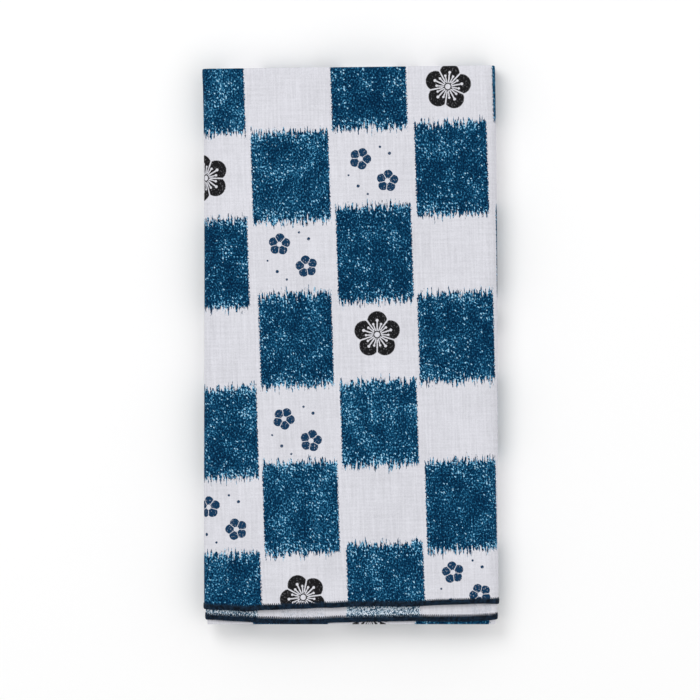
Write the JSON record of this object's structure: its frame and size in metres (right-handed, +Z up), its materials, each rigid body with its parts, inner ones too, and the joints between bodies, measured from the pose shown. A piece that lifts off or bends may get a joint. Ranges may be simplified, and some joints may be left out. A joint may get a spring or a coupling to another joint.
{
  "type": "folded tenugui towel",
  "caption": "Thin cotton tenugui hand towel with an indigo and white checked print and overlocked ends, folded flat into a slim layered pack.",
  "frame": {"origin": "middle of the pack's outline, on the surface that the pack lies on", "axes": "+Z up out of the printed face that shows, +Y along the pack towards its far fold, with both overlocked ends at the near side, -Y"},
  "size_m": [0.1208, 0.228, 0.0152],
  "materials": {
    "printed_cotton": "matte plain weave, white with an indigo checked print",
    "overlock_thread": "spun polyester thread with a low sheen"
  },
  "bodies": {
    "root": {"folded_cloth": "printed_cotton"}
  },
  "joints": []
}
